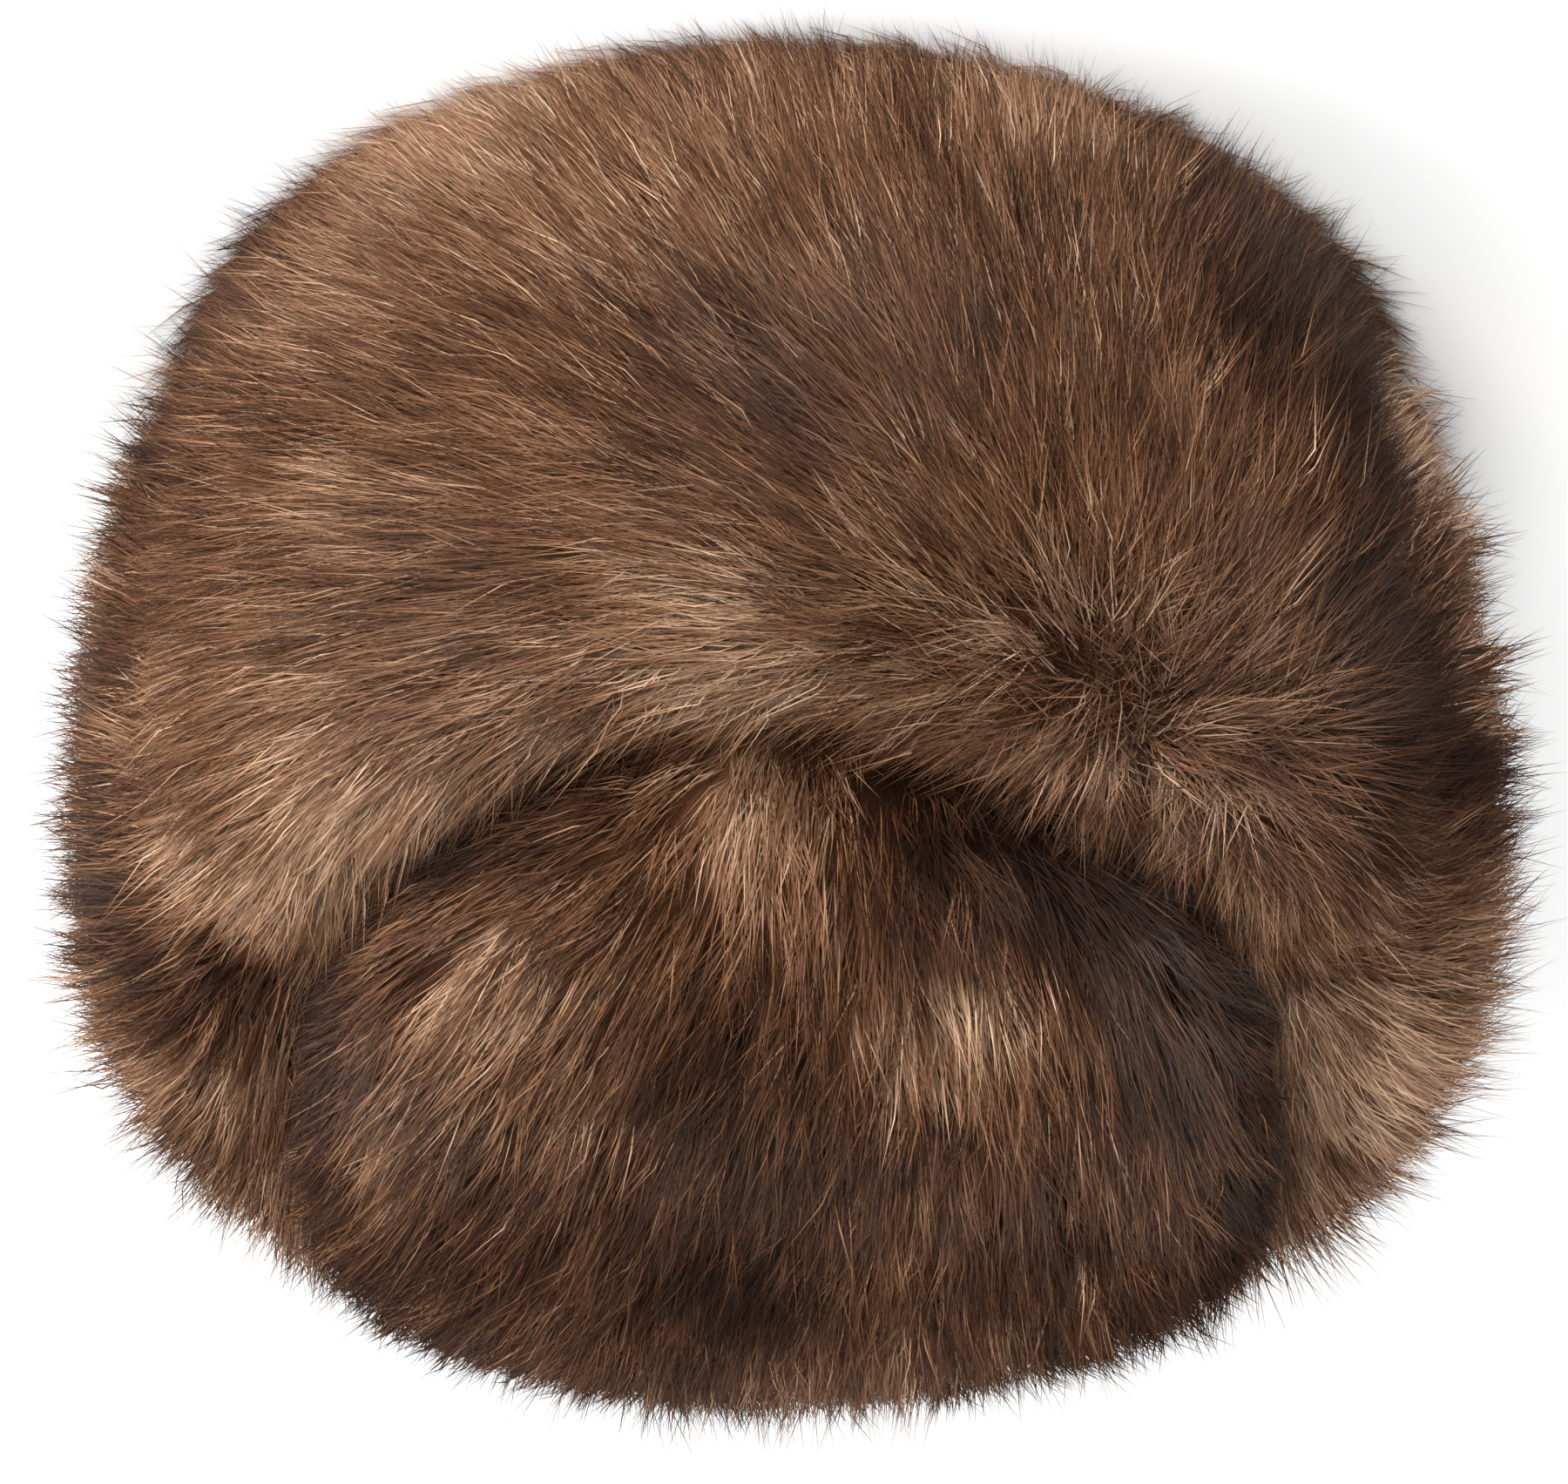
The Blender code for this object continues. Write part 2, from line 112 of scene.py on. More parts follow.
# How the nap lies near a place on the cuff: round is towards +azimuth, up towards the rim and on
# over it. Between places that pull it apart, the fur stands up ruffled
Comb = namedtuple("Comb", "azimuth level round up")
CUFF_COMB = [
    Comb(azimuth=-36, level=0.23, round=-0.3, up=-1.0),
    Comb(azimuth=-28, level=0.57, round=0.1, up=-1.0),
    Comb(azimuth=-39, level=0.49, round=-0.2, up=-1.0),
    Comb(azimuth=-50, level=0.22, round=-0.4, up=-0.9),
    Comb(azimuth=-24, level=0.32, round=0.1, up=-1.0),
    Comb(azimuth=-13, level=0.29, round=0.3, up=-1.0),
    Comb(azimuth=-17, level=0.55, round=0.4, up=-0.9),
    Comb(azimuth=-6, level=0.44, round=0.5, up=-0.9),
    Comb(azimuth=-3, level=0.20, round=0.3, up=-0.9),
    Comb(azimuth=15, level=0.12, round=0.5, up=-0.9),
    Comb(azimuth=22, level=0.21, round=0.8, up=-0.6),
    Comb(azimuth=11, level=0.37, round=0.7, up=-0.7),
    Comb(azimuth=21, level=0.47, round=0.9, up=-0.4),
    Comb(azimuth=37, level=0.44, round=0.9, up=-0.4),
    Comb(azimuth=48, level=0.20, round=0.7, up=-0.7),
    Comb(azimuth=69, level=0.18, round=0.8, up=-0.5),
    Comb(azimuth=72, level=0.44, round=0.8, up=-0.5),
    Comb(azimuth=29, level=0.65, round=1.0, up=-0.2),
    Comb(azimuth=0, level=0.62, round=0.9, up=-0.5),
    Comb(azimuth=-6, level=0.75, round=0.9, up=-0.3),
    Comb(azimuth=-17, level=0.76, round=0.8, up=-0.6),
    Comb(azimuth=-24, level=0.73, round=0.4, up=-0.9),
    Comb(azimuth=-22, level=0.88, round=0.9, up=0.3),
    Comb(azimuth=-10, level=0.85, round=1.0, up=0.1),
    Comb(azimuth=4, level=0.80, round=1.0, up=0.0),
    Comb(azimuth=15, level=0.86, round=1.0, up=0.1),
    Comb(azimuth=25, level=0.81, round=1.0, up=0.0),
    Comb(azimuth=37, level=0.75, round=1.0, up=0.0),
    Comb(azimuth=49, level=0.84, round=1.0, up=0.1),
    Comb(azimuth=37, level=0.92, round=1.0, up=0.2),
    Comb(azimuth=77, level=0.65, round=0.8, up=-0.5),
    Comb(azimuth=72, level=0.82, round=0.8, up=-0.5),
    Comb(azimuth=92, level=0.90, round=0.7, up=-0.7),
    Comb(azimuth=40, level=0.99, round=0.8, up=0.5),
    Comb(azimuth=12, level=0.99, round=0.8, up=0.6),
    Comb(azimuth=-9, level=0.98, round=0.7, up=0.8),
    Comb(azimuth=-24, level=0.98, round=0.2, up=1.0),
    Comb(azimuth=-42, level=0.98, round=-0.3, up=0.9),
    Comb(azimuth=-32, level=0.76, round=0.0, up=-1.0),
    Comb(azimuth=-43, level=0.74, round=-0.3, up=-1.0),
    Comb(azimuth=-58, level=0.76, round=-0.7, up=-0.7),
    Comb(azimuth=-56, level=0.92, round=-1.0, up=0.3),
    Comb(azimuth=-73, level=0.80, round=-0.4, up=-0.9),
    Comb(azimuth=-82, level=0.89, round=-0.7, up=-0.7),
    Comb(azimuth=-90, level=0.92, round=-0.5, up=-0.9),
    Comb(azimuth=-111, level=0.91, round=-0.5, up=-0.9),
    Comb(azimuth=-68, level=0.15, round=-0.8, up=-0.6),
    Comb(azimuth=-76, level=0.32, round=-0.8, up=-0.6),
    Comb(azimuth=-68, level=0.47, round=-0.5, up=-0.8),
    Comb(azimuth=-77, level=0.59, round=-0.8, up=-0.5),
    Comb(azimuth=120, level=0.50, round=0.8, up=-0.6),
    Comb(azimuth=180, level=0.50, round=0.1, up=-1.0),
    Comb(azimuth=-130, level=0.50, round=-0.8, up=-0.6),
]

# The same on the crown, seen from above: across and along are shares of half the crown's width and
# length; right, back and rise are the way that the nap lies there
Stroke = namedtuple("Stroke", "across along right back rise")
CROWN_STROKES = [
    Stroke(across=0.00, along=-1.00, right=0.0, back=0.1, rise=1.0),
    Stroke(across=0.35, along=-0.95, right=0.5, back=0.1, rise=0.9),
    Stroke(across=-0.35, along=-0.93, right=-0.1, back=0.1, rise=1.0),
    Stroke(across=0.04, along=-0.88, right=0.0, back=0.6, rise=0.8),
    Stroke(across=0.20, along=-0.92, right=0.5, back=0.3, rise=0.7),
    Stroke(across=0.35, along=-0.85, right=0.8, back=0.5, rise=0.3),
    Stroke(across=0.54, along=-0.75, right=0.8, back=0.6, rise=0.3),
    Stroke(across=0.62, along=-0.58, right=0.6, back=0.8, rise=0.2),
    Stroke(across=0.44, along=-0.61, right=0.5, back=0.8, rise=0.2),
    Stroke(across=0.72, along=-0.22, right=0.4, back=0.9, rise=0.0),
    Stroke(across=0.90, along=-0.40, right=0.4, back=0.9, rise=0.1),
    Stroke(across=0.18, along=-0.56, right=0.4, back=0.9, rise=0.2),
    Stroke(across=-0.08, along=-0.75, right=0.0, back=0.9, rise=0.5),
    Stroke(across=-0.27, along=-0.72, right=-0.1, back=0.9, rise=0.4),
    Stroke(across=-0.36, along=-0.52, right=-0.1, back=1.0, rise=0.2),
    Stroke(across=-0.51, along=-0.61, right=-0.2, back=0.9, rise=0.3),
    Stroke(across=-0.69, along=-0.48, right=-0.2, back=0.9, rise=0.3),
    Stroke(across=-0.89, along=-0.05, right=-0.2, back=1.0, rise=0.0),
    Stroke(across=0.37, along=-0.17, right=0.4, back=0.9, rise=0.0),
    Stroke(across=0.65, along=0.18, right=0.5, back=0.9, rise=-0.1),
    Stroke(across=0.10, along=-0.03, right=0.3, back=1.0, rise=0.0),
    Stroke(across=-0.17, along=-0.17, right=0.1, back=1.0, rise=0.0),
    Stroke(across=-0.37, along=-0.01, right=0.0, back=1.0, rise=0.0),
    Stroke(across=-0.64, along=0.03, right=-0.1, back=1.0, rise=0.0),
    Stroke(across=0.10, along=0.50, right=0.2, back=1.0, rise=-0.1),
    Stroke(across=0.53, along=0.45, right=0.6, back=0.8, rise=-0.1),
    Stroke(across=-0.18, along=0.73, right=0.1, back=1.0, rise=-0.2),
    Stroke(across=-0.48, along=0.54, right=-0.1, back=1.0, rise=-0.1),
    Stroke(across=-0.87, along=0.31, right=-0.3, back=0.9, rise=-0.2),
    Stroke(across=0.84, along=0.40, right=0.6, back=0.8, rise=-0.2),
    Stroke(across=0.00, along=1.03, right=0.0, back=0.4, rise=-0.9),
    Stroke(across=0.65, along=0.82, right=0.3, back=0.5, rise=-0.8),
    Stroke(across=-0.65, along=0.82, right=-0.3, back=0.5, rise=-0.8),
]

# Patches of darker or lighter tone, added near a place on a piece: some are the fur's own tone, the
# others are painted light and shade, with painted shade in pockets under the rim, painted shadow
# along the seams, painted light on the cuff's lower front and a painted highlight along its rim; cool
# is how far they turn from brown to grey. Reach is in metres
CuffToneAndPaintedLightPatch = namedtuple("CuffToneAndPaintedLightPatch", "azimuth level reach tone cool")
CUFF_TONE_AND_PAINTED_LIGHT_PATCHES = [
    CuffToneAndPaintedLightPatch(azimuth=27, level=0.11, reach=0.018, tone=0.41, cool=0.0),
    CuffToneAndPaintedLightPatch(azimuth=17, level=0.09, reach=0.014, tone=0.27, cool=0.0),
    CuffToneAndPaintedLightPatch(azimuth=-16, level=0.10, reach=0.012, tone=0.19, cool=0.1),
    CuffToneAndPaintedLightPatch(azimuth=43, level=0.38, reach=0.012, tone=0.22, cool=0.0),
    CuffToneAndPaintedLightPatch(azimuth=30, level=0.60, reach=0.007, tone=0.16, cool=0.0),
    CuffToneAndPaintedLightPatch(azimuth=-23, level=0.20, reach=0.010, tone=0.14, cool=0.0),
    CuffToneAndPaintedLightPatch(azimuth=-31, level=0.53, reach=0.007, tone=0.24, cool=0.0),
    CuffToneAndPaintedLightPatch(azimuth=9, level=0.37, reach=0.012, tone=0.11, cool=0.0),
    CuffToneAndPaintedLightPatch(azimuth=25, level=0.26, reach=0.012, tone=0.11, cool=0.0),
    CuffToneAndPaintedLightPatch(azimuth=68, level=0.58, reach=0.012, tone=0.22, cool=0.0),
    CuffToneAndPaintedLightPatch(azimuth=40, level=0.92, reach=0.016, tone=0.30, cool=0.0),
    CuffToneAndPaintedLightPatch(azimuth=41, level=0.80, reach=0.012, tone=0.19, cool=0.0),
    CuffToneAndPaintedLightPatch(azimuth=56, level=0.89, reach=0.014, tone=0.30, cool=0.0),
    CuffToneAndPaintedLightPatch(azimuth=20, level=0.89, reach=0.013, tone=0.22, cool=0.0),
    CuffToneAndPaintedLightPatch(azimuth=3, level=0.86, reach=0.016, tone=0.19, cool=0.0),
    CuffToneAndPaintedLightPatch(azimuth=-9, level=0.88, reach=0.011, tone=0.14, cool=0.0),
    CuffToneAndPaintedLightPatch(azimuth=-97, level=0.80, reach=0.014, tone=0.22, cool=0.0),
    CuffToneAndPaintedLightPatch(azimuth=-94, level=0.92, reach=0.019, tone=0.24, cool=0.0),
    CuffToneAndPaintedLightPatch(azimuth=-112, level=0.82, reach=0.017, tone=0.19, cool=0.0),
    CuffToneAndPaintedLightPatch(azimuth=-48, level=0.92, reach=0.008, tone=0.16, cool=0.0),
    CuffToneAndPaintedLightPatch(azimuth=-70, level=0.12, reach=0.011, tone=0.54, cool=0.1),
    CuffToneAndPaintedLightPatch(azimuth=-72, level=0.21, reach=0.008, tone=0.27, cool=0.0),
    CuffToneAndPaintedLightPatch(azimuth=-77, level=0.27, reach=0.010, tone=0.19, cool=0.0),
    CuffToneAndPaintedLightPatch(azimuth=46, level=0.14, reach=0.012, tone=-0.46, cool=0.0),
    CuffToneAndPaintedLightPatch(azimuth=66, level=0.15, reach=0.012, tone=-0.41, cool=0.0),
    CuffToneAndPaintedLightPatch(azimuth=69, level=0.24, reach=0.012, tone=-0.32, cool=0.0),
    CuffToneAndPaintedLightPatch(azimuth=74, level=0.52, reach=0.011, tone=-0.26, cool=0.3),
    CuffToneAndPaintedLightPatch(azimuth=79, level=0.78, reach=0.012, tone=-0.38, cool=0.3),
    CuffToneAndPaintedLightPatch(azimuth=24, level=0.59, reach=0.008, tone=-0.26, cool=0.0),
    CuffToneAndPaintedLightPatch(azimuth=5, level=0.60, reach=0.011, tone=-0.26, cool=0.0),
    CuffToneAndPaintedLightPatch(azimuth=0, level=0.53, reach=0.007, tone=-0.38, cool=0.0),
    CuffToneAndPaintedLightPatch(azimuth=18, level=0.77, reach=0.011, tone=-0.17, cool=0.1),
    CuffToneAndPaintedLightPatch(azimuth=-6, level=0.75, reach=0.013, tone=-0.20, cool=0.0),
    CuffToneAndPaintedLightPatch(azimuth=-23, level=0.70, reach=0.012, tone=-0.17, cool=0.0),
    CuffToneAndPaintedLightPatch(azimuth=-16, level=0.55, reach=0.017, tone=-0.14, cool=0.0),
    CuffToneAndPaintedLightPatch(azimuth=-38, level=0.25, reach=0.017, tone=-0.35, cool=0.0),
    CuffToneAndPaintedLightPatch(azimuth=-39, level=0.42, reach=0.013, tone=-0.29, cool=0.0),
    CuffToneAndPaintedLightPatch(azimuth=-51, level=0.15, reach=0.011, tone=-0.46, cool=0.0),
    CuffToneAndPaintedLightPatch(azimuth=-53, level=0.32, reach=0.014, tone=-0.60, cool=0.0),
    CuffToneAndPaintedLightPatch(azimuth=-53, level=0.48, reach=0.014, tone=-0.60, cool=0.0),
    CuffToneAndPaintedLightPatch(azimuth=-51, level=0.66, reach=0.014, tone=-0.60, cool=0.0),
    CuffToneAndPaintedLightPatch(azimuth=-66, level=0.30, reach=0.007, tone=-0.58, cool=0.0),
    CuffToneAndPaintedLightPatch(azimuth=-68, level=0.60, reach=0.014, tone=-0.60, cool=0.0),
    CuffToneAndPaintedLightPatch(azimuth=-71, level=0.72, reach=0.008, tone=-0.49, cool=0.0),
    CuffToneAndPaintedLightPatch(azimuth=-29, level=0.87, reach=0.012, tone=-0.08, cool=0.0),
    CuffToneAndPaintedLightPatch(azimuth=-37, level=0.85, reach=0.010, tone=-0.08, cool=0.0),
    CuffToneAndPaintedLightPatch(azimuth=-78, level=0.70, reach=0.010, tone=-0.43, cool=0.0),
    CuffToneAndPaintedLightPatch(azimuth=80, level=0.91, reach=0.010, tone=-0.49, cool=0.0),
    CuffToneAndPaintedLightPatch(azimuth=107, level=0.84, reach=0.014, tone=-0.20, cool=0.0),
    CuffToneAndPaintedLightPatch(azimuth=-50, level=0.82, reach=0.012, tone=-0.45, cool=0.0),
    CuffToneAndPaintedLightPatch(azimuth=-60, level=0.50, reach=0.012, tone=-0.50, cool=0.0),
    CuffToneAndPaintedLightPatch(azimuth=-60, level=0.76, reach=0.012, tone=-0.50, cool=0.0),
    CuffToneAndPaintedLightPatch(azimuth=-58, level=0.25, reach=0.010, tone=-0.40, cool=0.0),
    CuffToneAndPaintedLightPatch(azimuth=-40, level=0.46, reach=0.020, tone=-0.16, cool=0.0),
    CuffToneAndPaintedLightPatch(azimuth=-20, level=0.65, reach=0.020, tone=-0.10, cool=0.0),
    CuffToneAndPaintedLightPatch(azimuth=27, level=0.15, reach=0.018, tone=0.16, cool=0.0),
    CuffToneAndPaintedLightPatch(azimuth=2, level=0.92, reach=0.016, tone=0.16, cool=0.0),
    CuffToneAndPaintedLightPatch(azimuth=-85, level=0.88, reach=0.018, tone=0.14, cool=0.0),
    CuffToneAndPaintedLightPatch(azimuth=92, level=0.88, reach=0.016, tone=0.10, cool=0.0),
    CuffToneAndPaintedLightPatch(azimuth=-74, level=0.18, reach=0.012, tone=0.40, cool=0.0),
    CuffToneAndPaintedLightPatch(azimuth=-45, level=0.72, reach=0.010, tone=-0.32, cool=0.0),
    CuffToneAndPaintedLightPatch(azimuth=-46, level=0.52, reach=0.010, tone=-0.30, cool=0.0),
    CuffToneAndPaintedLightPatch(azimuth=-22, level=0.14, reach=0.014, tone=0.14, cool=0.0),
    CuffToneAndPaintedLightPatch(azimuth=0, level=0.90, reach=0.020, tone=0.10, cool=0.0),
    CuffToneAndPaintedLightPatch(azimuth=-27, level=0.92, reach=0.012, tone=0.10, cool=0.0),
    CuffToneAndPaintedLightPatch(azimuth=27, level=0.12, reach=0.014, tone=0.12, cool=0.0),
    CuffToneAndPaintedLightPatch(azimuth=-22, level=0.12, reach=0.016, tone=0.10, cool=0.0),
    CuffToneAndPaintedLightPatch(azimuth=40, level=0.94, reach=0.012, tone=0.08, cool=0.0),
    CuffToneAndPaintedLightPatch(azimuth=48, level=0.22, reach=0.012, tone=-0.16, cool=0.0),
    CuffToneAndPaintedLightPatch(azimuth=70, level=0.36, reach=0.012, tone=-0.20, cool=0.0),
    CuffToneAndPaintedLightPatch(azimuth=100, level=0.92, reach=0.016, tone=0.10, cool=0.0),
]
CrownToneAndPaintedLightPatch = namedtuple("CrownToneAndPaintedLightPatch", "across along reach tone cool")
CROWN_TONE_AND_PAINTED_LIGHT_PATCHES = [
    CrownToneAndPaintedLightPatch(across=0.04, along=-0.89, reach=0.012, tone=0.30, cool=0.0),
    CrownToneAndPaintedLightPatch(across=0.15, along=-0.93, reach=0.007, tone=0.27, cool=0.0),
    CrownToneAndPaintedLightPatch(across=0.59, along=-0.76, reach=0.010, tone=-0.52, cool=0.0),
    CrownToneAndPaintedLightPatch(across=-0.44, along=-0.85, reach=0.010, tone=-0.52, cool=0.0),
    CrownToneAndPaintedLightPatch(across=-0.26, along=-0.89, reach=0.011, tone=-0.26, cool=0.0),
    CrownToneAndPaintedLightPatch(across=-0.53, along=-0.68, reach=0.007, tone=-0.41, cool=0.0),
    CrownToneAndPaintedLightPatch(across=0.51, along=-0.54, reach=0.014, tone=0.16, cool=0.0),
    CrownToneAndPaintedLightPatch(across=-0.28, along=-0.57, reach=0.013, tone=0.19, cool=0.0),
    CrownToneAndPaintedLightPatch(across=-0.49, along=-0.30, reach=0.011, tone=0.14, cool=0.0),
    CrownToneAndPaintedLightPatch(across=0.10, along=-0.42, reach=0.017, tone=-0.23, cool=0.0),
    CrownToneAndPaintedLightPatch(across=-0.10, along=-0.21, reach=0.013, tone=-0.17, cool=0.0),
    CrownToneAndPaintedLightPatch(across=-0.78, along=-0.34, reach=0.013, tone=-0.23, cool=0.6),
    CrownToneAndPaintedLightPatch(across=-0.90, along=0.13, reach=0.013, tone=-0.29, cool=0.3),
    CrownToneAndPaintedLightPatch(across=-0.69, along=-0.59, reach=0.011, tone=-0.17, cool=0.5),
    CrownToneAndPaintedLightPatch(across=0.77, along=-0.30, reach=0.013, tone=0.00, cool=0.4),
    CrownToneAndPaintedLightPatch(across=0.10, along=0.31, reach=0.022, tone=-0.35, cool=0.0),
    CrownToneAndPaintedLightPatch(across=0.46, along=0.12, reach=0.014, tone=-0.14, cool=0.0),
    CrownToneAndPaintedLightPatch(across=-0.52, along=0.17, reach=0.007, tone=-0.65, cool=0.0),
    CrownToneAndPaintedLightPatch(across=-0.28, along=0.92, reach=0.014, tone=0.22, cool=0.0),
    CrownToneAndPaintedLightPatch(across=0.11, along=0.81, reach=0.012, tone=0.11, cool=0.0),
    CrownToneAndPaintedLightPatch(across=-0.83, along=0.44, reach=0.014, tone=-0.20, cool=0.0),
    CrownToneAndPaintedLightPatch(across=0.56, along=-0.58, reach=0.016, tone=0.16, cool=0.0),
    CrownToneAndPaintedLightPatch(across=0.10, along=-0.50, reach=0.016, tone=-0.08, cool=0.0),
    CrownToneAndPaintedLightPatch(across=0.50, along=-0.62, reach=0.018, tone=0.12, cool=0.0),
    CrownToneAndPaintedLightPatch(across=-0.32, along=-0.60, reach=0.014, tone=0.14, cool=0.0),
    CrownToneAndPaintedLightPatch(across=-0.10, along=0.90, reach=0.030, tone=0.16, cool=0.0),
    CrownToneAndPaintedLightPatch(across=-0.28, along=0.98, reach=0.016, tone=0.16, cool=0.0),
    CrownToneAndPaintedLightPatch(across=0.62, along=0.30, reach=0.014, tone=-0.08, cool=0.0),
]

# The pile's colours from its darkest tone to its lightest, in linear light
Tone = namedtuple("Tone", "at red green blue")
TONES = [
    Tone(at=0.00, red=0.014, green=0.0052, blue=0.0026),
    Tone(at=0.30, red=0.055, green=0.0212, blue=0.0092),
    Tone(at=0.55, red=0.147, green=0.066, blue=0.0315),
    Tone(at=0.80, red=0.300, green=0.168, blue=0.0980),
    Tone(at=1.00, red=0.500, green=0.335, blue=0.2250),
]
COOL_TINT = (0.110, 0.085, 0.075)


def azimuth_of(points):
    return np.arctan2(points[:, 0], -points[:, 1])


def turn_from(azimuth, degrees):
    """Signed angle from a direction in degrees to each azimuth, the short way round."""
    return (azimuth - math.radians(degrees) + math.pi) % (2 * math.pi) - math.pi


def mouth_radius(azimuth):
    """Radius of the crown's oval wall, which the cuff sits on."""
    return 1 / np.hypot(np.sin(azimuth) / MOUTH_HALF_WIDTH, np.cos(azimuth) / MOUTH_HALF_LENGTH)


def unit(vectors):
    return vectors / np.maximum(np.linalg.norm(vectors, axis=-1, keepdims=True), 1e-12)


def is_fur(node, point, normal):
    """Whether a vertex of a CAD node belongs to its furry outside."""
    past_wall = math.hypot(point.x, point.y) - mouth_radius(math.atan2(point.x, -point.y))
    if node == "crown":
        outward = normal.dot(point - Vector((0, 0, CUFF_TOP / 2))) > 0
        return point.z > CROWN_FUR_FROM and (outward or past_wall > 0.0002)
    return point.z > 0.001 and past_wall > CUFF_SEAT


def sink_into_fur(node, vertex):
    """Where a vertex of the combed skin goes, below the fur; a panel keeps its seam ends."""
    inward = -vertex.normal
    if node != "crown":
        out = Vector((vertex.co.x, vertex.co.y, 0)).normalized()
        inward = out * inward.dot(out) + Vector((0, 0, inward.z))
    return vertex.co + inward.normalized() * FUR_DEPTH


def combed_skin(node, materials):
    """A copy of a CAD node with its tufts combed flat, on which the coats of fur grow."""
    mesh = bmesh.new()
    mesh.from_mesh(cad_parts[node].data)
    bmesh.ops.remove_doubles(mesh, verts=mesh.verts, dist=1e-6)
    mesh.normal_update()
    furry = [v for v in mesh.verts if is_fur(node, v.co, v.normal)]
    for _ in range(8):
        bmesh.ops.smooth_vert(
            mesh, verts=furry, factor=0.5, use_axis_x=True, use_axis_y=True, use_axis_z=True
        )
    mesh.normal_update()
    sunk = [sink_into_fur(node, v) for v in furry]
    for vertex, place in zip(furry, sunk):
        place.z = max(place.z, 0.0012)
        vertex.co = place
    bmesh.ops.smooth_vert(
        mesh, verts=furry, factor=0.5, use_axis_x=True, use_axis_y=True, use_axis_z=True
    )
    mesh.normal_update()
    furry = set(furry)
    for face in mesh.faces:
        face.smooth = True
        face.material_index = 0 if furry.intersection(face.verts) else 1
    data = bpy.data.meshes.new(node + "_skin")
    mesh.to_mesh(data)
    mesh.free()
    for material in materials:
        data.materials.append(material)
    places = np.empty(len(data.vertices) * 3)
    data.vertices.foreach_get("co", places)
    # the skin carries the same painted light and shade as the fur that grows from it
    tone, cool = tones_and_painted_light(node, places.reshape(-1, 3))
    colours = np.ones((len(data.vertices), 4), np.float32)
    colours[:, 0] = 0.0
    colours[:, 1] = np.clip(UNDERFUR_TONE + tone, 0, 1)
    colours[:, 2] = np.clip(cool, 0, 1)
    layer = data.color_attributes.new("strand", "FLOAT_COLOR", "POINT")
    layer.data.foreach_set("color", colours.ravel())
    skin = bpy.data.objects.new(node + "_skin", data)
    bpy.context.scene.collection.objects.link(skin)
    return skin


def surface_of(skin):
    """The furry triangles of a skin: their corners, the normals there, and each one's area."""
    data = skin.data
    data.calc_loop_triangles()
    count = len(data.vertices)
    points = np.empty(count * 3)
    data.vertices.foreach_get("co", points)
    normals = np.empty(count * 3)
    data.vertices.foreach_get("normal", normals)
    corners = np.empty(len(data.loop_triangles) * 3, int)
    data.loop_triangles.foreach_get("vertices", corners)
    slots = np.array([data.polygons[t.polygon_index].material_index for t in data.loop_triangles])
    corners = corners.reshape(-1, 3)[slots == 0]
    points = points.reshape(-1, 3)[corners]
    normals = normals.reshape(-1, 3)[corners]
    area = np.linalg.norm(
        np.cross(points[:, 1] - points[:, 0], points[:, 2] - points[:, 0]), axis=1
    )
    return points, normals, area


def scatter(surface, count, rng):
    """Random places on a surface, even by area, with the surface's normal at each."""
    points, normals, area = surface
    face = rng.choice(len(area), count, p=area / area.sum())
    share = rng.dirichlet((1, 1, 1), count)[:, :, None]
    return (points[face] * share).sum(1), unit((normals[face] * share).sum(1))


def pulled(places, rows, apart, ways):
    """Mean of the rows' ways at each place, weighted by nearness: a share of 1 where they agree."""
    total = np.zeros((len(places), len(ways(rows[0]))))
    weights = np.zeros(len(places))
    for row in rows:
        weight = 1 / (apart(row) + COMB_BLEND) ** 2
        total += weight[:, None] * unit(np.array(ways(row), float))
        weights += weight
    return total / weights[:, None]


def nap_of(node, places, normals):
    """Direction in which the fur is combed along the skin, and how sleek it is, at each place."""
    if node == "crown":
        across = places[:, 0] / MOUTH_HALF_WIDTH
        along = places[:, 1] / MOUTH_HALF_LENGTH
        way = pulled(
            places,
            CROWN_STROKES,
            lambda row: (across - row.across) ** 2 + (along - row.along) ** 2,
            lambda row: (row.right, row.back, row.rise),
        )
        nap = way - normals * (way * normals).sum(1, keepdims=True)
        return unit(nap), np.minimum(np.linalg.norm(way, axis=1), 1)
    azimuth = azimuth_of(places)
    level = places[:, 2] / CUFF_TOP
    way = pulled(
        places,
        CUFF_COMB,
        lambda row: turn_from(azimuth, row.azimuth) ** 2 + (level - row.level) ** 2,
        lambda row: (row.round, row.up),
    )
    round_axis = np.stack((np.cos(azimuth), np.sin(azimuth), np.zeros(len(azimuth))), 1)
    up_axis = unit(np.cross(normals, round_axis))
    nap = way[:, :1] * round_axis + way[:, 1:] * up_axis
    return unit(nap), np.minimum(np.linalg.norm(nap, axis=1), 1)


def step(values, ends):
    """0 at the first end to 1 at the second, with soft shoulders."""
    share = np.clip((values - ends[0]) / (ends[1] - ends[0]), 0, 1)
    return share * share * (3 - 2 * share)


def edge_share(node, places):
    """How far each place belongs to the crown's edge, which the cuff's rim lies over: there the fur
    is shorter and painted darker, a painted shade.
    """
    if node != "crown":
        return np.zeros(len(places))
    from_middle = np.hypot(places[:, 0], places[:, 1]) / mouth_radius(azimuth_of(places))
    return step(from_middle, CROWN_EDGE)


def fringe_share(node, places):
    """How far each place belongs to the short fringe on the inner side of the cuff's rim, which is
    painted lighter as a painted highlight.
    """
    if node == "crown":
        return np.zeros(len(places))
    out = np.hypot(places[:, 0], places[:, 1]) - mouth_radius(azimuth_of(places))
    return step(out, FRINGE_OUT) * step(places[:, 2] / CUFF_TOP, (0.80, 0.90))


